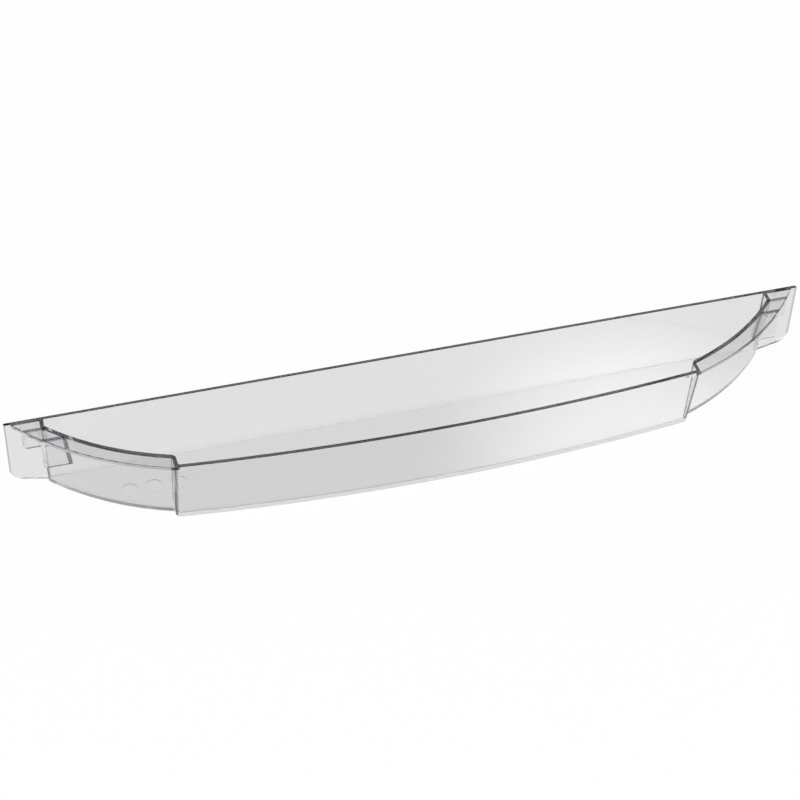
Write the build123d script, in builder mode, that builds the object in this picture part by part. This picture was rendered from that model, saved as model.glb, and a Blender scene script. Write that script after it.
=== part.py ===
"""Fridge door shelf: one clear injection-moulded tray that hangs by an ear at each end.

Millimetres, +Z up. X runs along the shelf, the front faces -Y and the flat back face is at +Y.
The origin is the middle of the overall length and depth, on the underside of the floor.
"""
import os
from math import hypot, sqrt

from build123d import *

# overall size
length = 490.0  # back wall from end to end
depth = 67.7  # back face to the middle of the front rim
height = 47.5  # underside of the floor to the rim

# section of the moulding
wall = 2.2
floor = 2.4
flange = 2.2
rib = 2.0
bottom_round = 1.2  # outside edge of the floor
inside_round = 0.4  # inside edge of the floor
rim_round = 0.4  # edges of the rim

# plan of the rim
front_half = 158.0  # middle of the shelf to the outer face of the front panel's end
front_sag = 7.9  # how far the middle of the front rim stands ahead of its ends
side_radius = 171.4  # outer edge of the flange at each side
front_return = 8.7  # end of the front panel back to the side wall
end_wall = 8.5  # back face to the start of the side wall
bend_round = 3.4  # end wall into side wall
step_round = 3.4  # side wall into the front panel's return, inside
front_round = 3.4  # return into the front panel
corner_round = 12.0  # flange's outer edge into the front rim
back_round = 0.8  # back wall into end wall, inside

# plan at the underside of the floor, where the leaning walls stand further in
front_lean = 5.8  # how far the middle of the front panel stands behind its rim
foot_sag = 9.6
foot_return = 4.7
foot_end_wall = 5.0

# ears
ear_tip = 3.8  # how far the back wall runs on past the flange
ear_lift = 5.2  # lower edge of the back wall at its end, above the floor's underside
ear_round = 9.0
hook_rib_back = 9.6  # back face to the middle of the rear hook rib
hook_rib_gap = 9.9  # between the middles of the two hook ribs
rear_rib_drop = 13.0  # rim to the lower edge of the rear hook rib
front_rib_drop = 21.2

# round mould marks under the floor, in the left end of the tray
mark_radius = 5.1
mark_spacing = 14.2
mark_depth = 0.5
mark_from_back = 23.6
mark_from_side = 23.8  # side wall's foot to the middle of the outermost mark

# the back face in the shared frame
back = depth / 2

# centre of the side arcs, from the ends of the flange's outer edge
end_x = length / 2
flange_x = end_x - ear_tip
front_corner = depth - front_sag
run = flange_x - front_half
climb = front_corner - wall
chord = hypot(run, climb)
rise = sqrt(side_radius**2 - (chord / 2) ** 2)
centre_x = (flange_x + front_half) / 2 - rise * climb / chord
centre_y = rise * run / chord - (front_corner + wall) / 2

# side arcs of the tray, each through the back of the front panel's return
rim_radius = hypot(front_half - centre_x, front_return - front_corner - centre_y)
foot_corner = depth - front_lean - foot_sag
foot_radius = hypot(front_half - centre_x, foot_return - foot_corner - centre_y)


def level(z):
    """Drawing plane at a height, with its X axis on the back face."""
    return Plane(origin=(0, back, z))


def arc_x(y, radius):
    """Distance from the middle where a side arc crosses a given depth."""
    return centre_x + sqrt(radius**2 - (y - centre_y) ** 2)


def arc_y(x, radius):
    """Depth of a side arc at a given distance from the middle."""
    return centre_y - sqrt(radius**2 - (x - centre_x) ** 2)


rim_end = arc_x(-end_wall, rim_radius)
foot_end = arc_x(-foot_end_wall, foot_radius)


def tray_plan(z, lean, inset, behind):
    """Plan of the tray at a height, out to a distance behind the back face.

    Lean 0 is the rim and lean 1 the underside of the floor.
    """
    ends = rim_end + (foot_end - rim_end) * lean - inset
    panel = front_half - inset
    radius = rim_radius + (foot_radius - rim_radius) * lean - inset
    front_middle = inset - depth + front_lean * lean
    front_end = front_middle + front_sag + (foot_sag - front_sag) * lean
    bend_y = arc_y(ends, radius)
    step_y = arc_y(panel, radius)
    side_x = (ends + panel) / 2
    side_y = arc_y(side_x, radius)
    with BuildSketch(level(z)) as plan:
        with BuildLine():
            Line((-ends, behind), (ends, behind))
            Line((ends, behind), (ends, bend_y))
            ThreePointArc((ends, bend_y), (side_x, side_y), (panel, step_y))
            Line((panel, step_y), (panel, front_end))
            ThreePointArc((panel, front_end), (0, front_middle), (-panel, front_end))
            Line((-panel, front_end), (-panel, step_y))
            ThreePointArc((-panel, step_y), (-side_x, side_y), (-ends, bend_y))
            Line((-ends, bend_y), (-ends, behind))
        make_face()
    return plan.sketch


def rim_plan():
    """Outline of the rim with both flanges, seen from above."""
    edge_x = (flange_x + front_half) / 2
    edge_y = arc_y(edge_x, side_radius)
    with BuildSketch() as plan:
        with BuildLine():
            Line((-end_x, 0), (end_x, 0))
            Line((end_x, 0), (end_x, -wall))
            Line((end_x, -wall), (flange_x, -wall))
            ThreePointArc((flange_x, -wall), (edge_x, edge_y), (front_half, -front_corner))
            ThreePointArc((front_half, -front_corner), (0, -depth), (-front_half, -front_corner))
            ThreePointArc((-front_half, -front_corner), (-edge_x, edge_y), (-flange_x, -wall))
            Line((-flange_x, -wall), (-end_x, -wall))
            Line((-end_x, -wall), (-end_x, 0))
        make_face()
        fillet(plan.vertices().sort_by(Axis.Y)[:2], corner_round)
    return plan.sketch_local


def uprights(block):
    """Standing corner edges of a block, in pairs from the front to the back."""
    standing = block.edges().filter_by(lambda edge: abs(edge.tangent_at(0.5).Z) > 0.9)
    return standing.group_by(Axis.Y)


# the space inside the tray
with BuildPart() as hollow:
    loft(
        [
            tray_plan(floor, 1 - floor / height, wall, -wall),
            tray_plan(height + wall, -wall / height, wall, -wall),
        ],
        ruled=True,
    )
    front_pair, step_pair, bend_pair, back_pair = uprights(hollow)
    fillet(back_pair, back_round)
    fillet(bend_pair, bend_round - wall)
    fillet(step_pair, step_round)
    fillet(front_pair, front_round - wall)
    fillet(hollow.faces().sort_by(Axis.Z)[0].edges(), inside_round)

with BuildPart() as shelf:
    # floor and walls as one block, up to the underside of the flange, cut off at the back face
    loft([tray_plan(0, 1, 0, depth), tray_plan(height - flange, 0, 0, depth)], ruled=True)
    front_pair, step_pair, bend_pair, back_pair = uprights(shelf)
    fillet(bend_pair, bend_round)
    fillet(step_pair, step_round - wall)
    fillet(front_pair, front_round)
    fillet(shelf.faces().sort_by(Axis.Z)[0].edges(), bottom_round)
    split(bisect_by=Plane.XZ.offset(-back), keep=Keep.TOP)

    # back wall carried on beyond both ends of the tray
    with BuildSketch(Plane.XZ.offset(-back)) as back_wall:
        with BuildLine():
            Polyline((0, height), (end_x, height), (end_x, ear_lift), (foot_end, 0), (0, 0), close=True)
        make_face()
        fillet(back_wall.vertices().sort_by_distance((end_x, ear_lift))[0], ear_round)
        mirror(about=Plane.YZ)
    extrude(amount=wall)

    # rim of the walls, which widens to a flange at each side
    with BuildSketch(level(height)) as rim:
        add(rim_plan())
    extrude(amount=-flange)

    # hook ribs under the flange, out to its edge
    for rib_y, rib_drop in (
        (-hook_rib_back, rear_rib_drop),
        (-hook_rib_back - hook_rib_gap, front_rib_drop),
    ):
        with BuildSketch(level(height)) as hook_rib:
            add(rim_plan())
            with Locations((0, rib_y)):
                Rectangle(length, rib, mode=Mode.INTERSECT)
        extrude(amount=-rib_drop)

    # inside of the tray
    add(hollow.part, mode=Mode.SUBTRACT)

    # soft edges all round the rim
    fillet(shelf.faces().sort_by(Axis.Z)[-1].edges(), rim_round)

    # mould marks
    mark_x = arc_x(-mark_from_back, foot_radius) - mark_from_side - mark_spacing
    with BuildSketch(level(0)) as marks:
        with Locations((-mark_x, -mark_from_back)):
            with GridLocations(mark_spacing, mark_spacing, 3, 1):
                Circle(mark_radius)
    extrude(amount=mark_depth, mode=Mode.SUBTRACT)

os.makedirs("parts", exist_ok=True)
shelf.part.label = "door_shelf"
export_step(shelf.part, "parts/door_shelf.step")
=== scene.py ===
from math import pi

import bpy
from mathutils import Matrix, Vector

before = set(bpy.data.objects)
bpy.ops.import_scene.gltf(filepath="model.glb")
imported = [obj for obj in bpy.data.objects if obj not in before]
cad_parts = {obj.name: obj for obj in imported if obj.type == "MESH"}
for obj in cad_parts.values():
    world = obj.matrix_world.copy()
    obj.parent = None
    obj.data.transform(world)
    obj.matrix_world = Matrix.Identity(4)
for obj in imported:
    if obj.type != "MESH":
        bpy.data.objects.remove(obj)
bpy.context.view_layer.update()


# Tray: one injection-moulded piece of clear styrene, about 2 mm thick, with floor, walls, flanges
# and hook ribs all in one shot. The plastic is colourless in a thin wall and grey along a wall,
# which is why the rims read as dark lines. It hangs on the door by its two ears.
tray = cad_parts["door_shelf"]

styrene = bpy.data.materials.new("clear_styrene")
styrene.use_nodes = True
nodes = styrene.node_tree.nodes
links = styrene.node_tree.links
moulded = nodes["Principled BSDF"]
moulded.inputs["IOR"].default_value = 1.58

# grey of the plastic itself, which only shows where light travels far inside it
depth_tint = nodes.new("ShaderNodeVolumeAbsorption")
depth_tint.inputs["Color"].default_value = (0.02, 0.0, 0.06, 1)
depth_tint.inputs["Density"].default_value = 37.0
links.new(depth_tint.outputs["Volume"], nodes["Material Output"].inputs["Volume"])

place = nodes.new("ShaderNodeTexCoord")

# handling marks: a polished skin with faint hazy patches
haze = nodes.new("ShaderNodeTexNoise")
haze.inputs["Scale"].default_value = 60.0
haze.inputs["Detail"].default_value = 6.0
links.new(place.outputs["Object"], haze.inputs["Vector"])
polish = nodes.new("ShaderNodeMapRange")
polish.inputs["From Min"].default_value = 0.35
polish.inputs["From Max"].default_value = 0.75
polish.inputs["To Min"].default_value = 0.015
polish.inputs["To Max"].default_value = 0.05
links.new(haze.outputs["Fac"], polish.inputs["Value"])

# the underside is left with the fine matte grain of the mould
upward = nodes.new("ShaderNodeSeparateXYZ")
links.new(place.outputs["Object"], upward.inputs["Vector"])
under = nodes.new("ShaderNodeMapRange")
under.inputs["From Min"].default_value = 0.0008
under.inputs["From Max"].default_value = 0.0006
links.new(upward.outputs["Z"], under.inputs["Value"])
finish = nodes.new("ShaderNodeMix")
finish.inputs["B"].default_value = 0.2
links.new(under.outputs["Result"], finish.inputs["Factor"])
links.new(polish.outputs["Result"], finish.inputs["A"])
links.new(finish.outputs["Result"], moulded.inputs["Roughness"])

# places on the tray, from its object coordinates
sideways = nodes.new("ShaderNodeMath")
sideways.operation = "ABSOLUTE"
links.new(upward.outputs["X"], sideways.inputs[0])
facing = nodes.new("ShaderNodeSeparateXYZ")
links.new(place.outputs["Normal"], facing.inputs["Vector"])
tilt = nodes.new("ShaderNodeMath")
tilt.operation = "ABSOLUTE"
links.new(facing.outputs["Z"], tilt.inputs[0])
out_x = sideways.outputs["Value"]
depth_y = upward.outputs["Y"]
height_z = upward.outputs["Z"]


def band(source, low, high):
    """One between two limits, nought elsewhere."""
    node = nodes.new("ShaderNodeMath")
    node.operation = "COMPARE"
    node.inputs[1].default_value = (low + high) / 2
    node.inputs[2].default_value = (high - low) / 2
    links.new(source, node.inputs[0])
    return node.outputs["Value"]


def combine(operation, first, second):
    """Two masks taken together."""
    node = nodes.new("ShaderNodeMath")
    node.operation = operation
    links.new(first, node.inputs[0])
    links.new(second, node.inputs[1])
    return node.outputs["Value"]


def below(source, limit):
    """One under a limit, nought above it."""
    node = nodes.new("ShaderNodeMath")
    node.operation = "LESS_THAN"
    node.inputs[1].default_value = limit
    links.new(source, node.inputs[0])
    return node.outputs["Value"]


upright_limit = 0.6
standing = below(tilt.outputs["Value"], upright_limit)

# painted light: the foot of the front and side walls, most of all the front panel's, is made partly
# opaque so that it shows as a pale band, standing in for light along the foot
front_foot_y = -0.0155
side_foot_y = -0.0135
back_foot_y = 0.025
foot_low = 0.00055
foot_high = 0.00405
side_painted_light_share = 0.32
painted_light_clearness = 0.4
front_most = nodes.new("ShaderNodeMapRange")
front_most.inputs["From Min"].default_value = front_foot_y
front_most.inputs["From Max"].default_value = side_foot_y
front_most.inputs["To Min"].default_value = 1.0
front_most.inputs["To Max"].default_value = side_painted_light_share
links.new(depth_y, front_most.inputs["Value"])
painted_light_band = combine("MULTIPLY", front_most.outputs["Result"], band(height_z, foot_low, foot_high))
painted_light_band = combine("MULTIPLY", painted_light_band, below(depth_y, back_foot_y))
painted_light_band = combine("MULTIPLY", painted_light_band, standing)

# the same painted light pales the small round between floor and back wall
floor_top = 0.0024
back_wall_y = 0.03165
small_round = 0.0004
margin = 0.00003
round_z = band(height_z, floor_top + margin, floor_top + small_round)
round_y = band(depth_y, back_wall_y - small_round, back_wall_y + margin)
painted_light_band = combine("MAXIMUM", painted_light_band, combine("MULTIPLY", round_z, round_y))
# painted light: less transmission in the band lets the white base colour show pale
clear = nodes.new("ShaderNodeMapRange")
clear.inputs["To Min"].default_value = 1.0
clear.inputs["To Max"].default_value = painted_light_clearness
links.new(painted_light_band, clear.inputs["Value"])
links.new(clear.outputs["Result"], moulded.inputs["Transmission Weight"])

# painted shade: a dark base colour stands for the dark of long light paths in the plastic, over the two
# hook ribs, at the outer corners of the front panel's returns and, fainter, at the ends of the ears
front_rib_y = 0.01435
rear_rib_y = 0.02425
half_rib = 0.001
rib_inner_x = 0.213
rib_outer_x = 0.235
rim_low = 0.0469
rim_high = 0.0481
over_front_rib = band(depth_y, front_rib_y - half_rib, front_rib_y + half_rib)
over_rear_rib = band(depth_y, rear_rib_y - half_rib, rear_rib_y + half_rib)
flange_top = combine("MULTIPLY", band(height_z, rim_low, rim_high), band(out_x, rib_inner_x, rib_outer_x))
over_ribs = combine("MULTIPLY", combine("MAXIMUM", over_rear_rib, over_front_rib), flange_top)

corner_inner_x = 0.15685
corner_outer_x = 0.15785
return_front_y = -0.0315
return_back_y = -0.0125
corner_x = band(out_x, corner_inner_x, corner_outer_x)
corner_y = band(depth_y, return_front_y, return_back_y)
on_returns = combine("MULTIPLY", combine("MULTIPLY", corner_x, corner_y), standing)

ear_inner_x = 0.2441
ear_outer_x = 0.2459
ear_faintness = 0.4
ear_ends = nodes.new("ShaderNodeMath")
ear_ends.operation = "MULTIPLY"
ear_ends.inputs[1].default_value = ear_faintness
links.new(band(out_x, ear_inner_x, ear_outer_x), ear_ends.inputs[0])

painted_shade_mask = combine("MAXIMUM", combine("MAXIMUM", over_ribs, on_returns), ear_ends.outputs["Value"])
# painted shade colour, mixed into the base colour where the mask is one
painted_shade_colour = nodes.new("ShaderNodeMix")
painted_shade_colour.data_type = "RGBA"
painted_shade_colour.inputs[6].default_value = (1.0, 0.998, 1.0, 1)
painted_shade_colour.inputs[7].default_value = (0.15, 0.15, 0.16, 1)
links.new(painted_shade_mask, painted_shade_colour.inputs["Factor"])
links.new(painted_shade_colour.outputs[2], moulded.inputs["Base Color"])

# slow waves that the flow of the melt leaves in the walls
flow = nodes.new("ShaderNodeTexNoise")
flow.inputs["Scale"].default_value = 22.0
flow.inputs["Detail"].default_value = 1.0
links.new(place.outputs["Object"], flow.inputs["Vector"])
waves = nodes.new("ShaderNodeBump")
waves.inputs["Strength"].default_value = 0.12
waves.inputs["Distance"].default_value = 0.0004
links.new(flow.outputs["Fac"], waves.inputs["Height"])
links.new(waves.outputs["Normal"], moulded.inputs["Normal"])

for slot in tray.material_slots:
    slot.material = styrene


# Floor: a wide pale sheet that the tray stands on. It is white to the camera, pale grey through the
# plastic, and keeps a faint shadow.
half = 6.0
sheet = bpy.data.meshes.new("floor")
sheet.from_pydata(
    [(-half, -half, 0), (half, -half, 0), (half, half, 0), (-half, half, 0)], [], [(0, 1, 2, 3)]
)
ground = bpy.data.objects.new("floor", sheet)
ground.location.z = -0.0002
bpy.context.scene.collection.objects.link(ground)

pale = bpy.data.materials.new("pale_floor")
pale.use_nodes = True
nodes = pale.node_tree.nodes
links = pale.node_tree.links
paint = nodes["Principled BSDF"]
paint.inputs["Base Color"].default_value = (0.9, 0.9, 0.9, 1)
paint.inputs["Roughness"].default_value = 0.9

white = nodes.new("ShaderNodeEmission")
white.inputs["Color"].default_value = (1, 1, 1, 1)
seen_white = nodes.new("ShaderNodeMixShader")
seen_white.inputs["Fac"].default_value = 0.95
links.new(paint.outputs["BSDF"], seen_white.inputs[1])
links.new(white.outputs["Emission"], seen_white.inputs[2])

# painted light: the floor glows pale grey, with a soft painted pool of light at the front right, for what
# is seen through or in the plastic
spot = nodes.new("ShaderNodeTexCoord")
centred = nodes.new("ShaderNodeMapping")
centred.vector_type = "TEXTURE"
centred.inputs["Location"].default_value = (0.122, -0.08, 0)
centred.inputs["Scale"].default_value = (0.15, 0.185, 0.15)
links.new(spot.outputs["Object"], centred.inputs["Vector"])
pool = nodes.new("ShaderNodeTexGradient")
pool.gradient_type = "SPHERICAL"
links.new(centred.outputs["Vector"], pool.inputs["Vector"])
falloff = nodes.new("ShaderNodeMapRange")
falloff.interpolation_type = "SMOOTHSTEP"
falloff.inputs["From Max"].default_value = 0.66
falloff.inputs["To Min"].default_value = 0.835
falloff.inputs["To Max"].default_value = 1.14
links.new(pool.outputs["Fac"], falloff.inputs["Value"])
grey = nodes.new("ShaderNodeEmission")
links.new(falloff.outputs["Result"], grey.inputs["Strength"])

ray = nodes.new("ShaderNodeLightPath")
through = nodes.new("ShaderNodeMath")
through.operation = "MAXIMUM"
links.new(ray.outputs["Is Transmission Ray"], through.inputs[0])
links.new(ray.outputs["Is Glossy Ray"], through.inputs[1])
plain_or_grey = nodes.new("ShaderNodeMixShader")
links.new(through.outputs["Value"], plain_or_grey.inputs["Fac"])
links.new(paint.outputs["BSDF"], plain_or_grey.inputs[1])
links.new(grey.outputs["Emission"], plain_or_grey.inputs[2])
shown = nodes.new("ShaderNodeMixShader")
links.new(ray.outputs["Is Camera Ray"], shown.inputs["Fac"])
links.new(plain_or_grey.outputs["Shader"], shown.inputs[1])
links.new(seen_white.outputs["Shader"], shown.inputs[2])
links.new(shown.outputs["Shader"], nodes["Material Output"].inputs["Surface"])
sheet.materials.append(pale)


# Studio: a room that is light near the floor and dim overhead, with two softboxes in front. It is
# white where the camera looks past the floor.
world = bpy.data.worlds.new("studio")
bpy.context.scene.world = world
world.use_nodes = True
nodes = world.node_tree.nodes
links = world.node_tree.links
room = nodes["Background"]
room.inputs["Color"].default_value = (1, 1, 1, 1)
toward = nodes.new("ShaderNodeTexCoord")
height = nodes.new("ShaderNodeSeparateXYZ")
links.new(toward.outputs["Generated"], height.inputs["Vector"])
dusk = nodes.new("ShaderNodeMapRange")
dusk.interpolation_type = "SMOOTHSTEP"
dusk.inputs["From Min"].default_value = 0.3
dusk.inputs["From Max"].default_value = 0.9
dusk.inputs["To Min"].default_value = 0.9
dusk.inputs["To Max"].default_value = 0.06
links.new(height.outputs["Z"], dusk.inputs["Value"])
links.new(dusk.outputs["Result"], room.inputs["Strength"])
backdrop = nodes.new("ShaderNodeBackground")
backdrop.inputs["Color"].default_value = (1, 1, 1, 1)
ray = nodes.new("ShaderNodeLightPath")
sky = nodes.new("ShaderNodeMixShader")
links.new(ray.outputs["Is Camera Ray"], sky.inputs["Fac"])
links.new(room.outputs["Background"], sky.inputs[1])
links.new(backdrop.outputs["Background"], sky.inputs[2])
links.new(sky.outputs["Shader"], nodes["World Output"].inputs["Surface"])


def softbox(name, place, size, watts):
    """Square lamp with a diffuser, aimed at the tray."""
    lamp = bpy.data.lights.new(name, "AREA")
    lamp.shape = "SQUARE"
    lamp.size = size
    lamp.energy = watts
    box = bpy.data.objects.new(name, lamp)
    box.location = place
    box.rotation_euler = (-Vector(place)).to_track_quat("-Z", "Y").to_euler()
    box.visible_camera = False
    bpy.context.scene.collection.objects.link(box)


softbox("key", (-0.9, -1.1, 1.9), 2.0, 40.0)
softbox("fill", (1.3, -0.9, 1.2), 1.4, 10.0)


# Camera: a long lens, well above the shelf and a little to its left.
yaw = 0.30874
pitch = 0.74786
roll = 0.03574
eye = Vector((-0.2922, -0.85368, 0.87428))
optics = bpy.data.cameras.new("camera")
optics.sensor_width = 36.0
optics.lens = 94.62
optics.clip_end = 50.0
camera = bpy.data.objects.new("camera", optics)
camera.matrix_world = (
    Matrix.Translation(eye)
    @ Matrix.Rotation(-yaw, 4, "Z")
    @ Matrix.Rotation(pi / 2 - pitch, 4, "X")
    @ Matrix.Rotation(roll, 4, "Z")
)
bpy.context.scene.collection.objects.link(camera)
bpy.context.scene.camera = camera

bpy.context.scene.view_settings.view_transform = "Standard"

# light zigzags along a clear wall before it comes out
bpy.context.scene.cycles.max_bounces = 64
bpy.context.scene.cycles.glossy_bounces = 64
bpy.context.scene.cycles.transmission_bounces = 64
